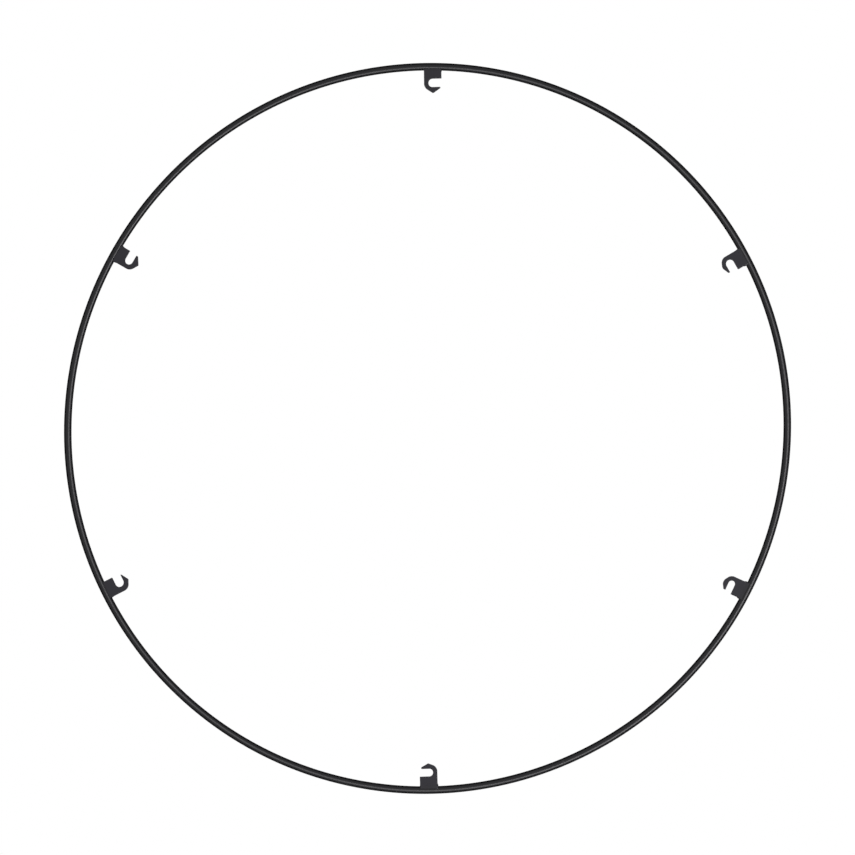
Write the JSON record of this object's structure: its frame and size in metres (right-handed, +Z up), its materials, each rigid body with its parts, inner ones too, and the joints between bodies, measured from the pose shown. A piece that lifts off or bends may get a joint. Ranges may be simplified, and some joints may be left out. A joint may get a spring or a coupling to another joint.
{
  "type": "roundnet rim",
  "caption": "Flat hoop of round black-coated steel bar with flat J-shaped hooks welded inside it, which hold the edge of a roundnet net.",
  "frame": {"origin": "centre of the hoop, level with the lowest point of the bar", "axes": "+Z up through the hoop, +Y towards the hook at 12 o'clock, +X towards 3 o'clock, as in the picture"},
  "size_m": [0.9144, 0.9144, 0.0095],
  "materials": {
    "rim_coat": "satin black powder coat",
    "hook_coat": "satin black powder coat, a little violet on the flat plates",
    "weld_coat": "satin black powder coat over weld beads"
  },
  "bodies": {
    "root": {"rim_bar": "rim_coat", "rim_closing_weld": "rim_coat", "net_hook_1": "hook_coat", "net_hook_2": "hook_coat", "net_hook_3": "hook_coat", "net_hook_4": "hook_coat", "net_hook_5": "hook_coat", "net_hook_6": "hook_coat", "hook_weld_top_1": "weld_coat", "hook_weld_top_2": "weld_coat", "hook_weld_top_3": "weld_coat", "hook_weld_top_4": "weld_coat", "hook_weld_top_5": "weld_coat", "hook_weld_top_6": "weld_coat", "hook_weld_under_1": "weld_coat", "hook_weld_under_2": "weld_coat", "hook_weld_under_3": "weld_coat", "hook_weld_under_4": "weld_coat", "hook_weld_under_5": "weld_coat", "hook_weld_under_6": "weld_coat"}
  },
  "joints": []
}
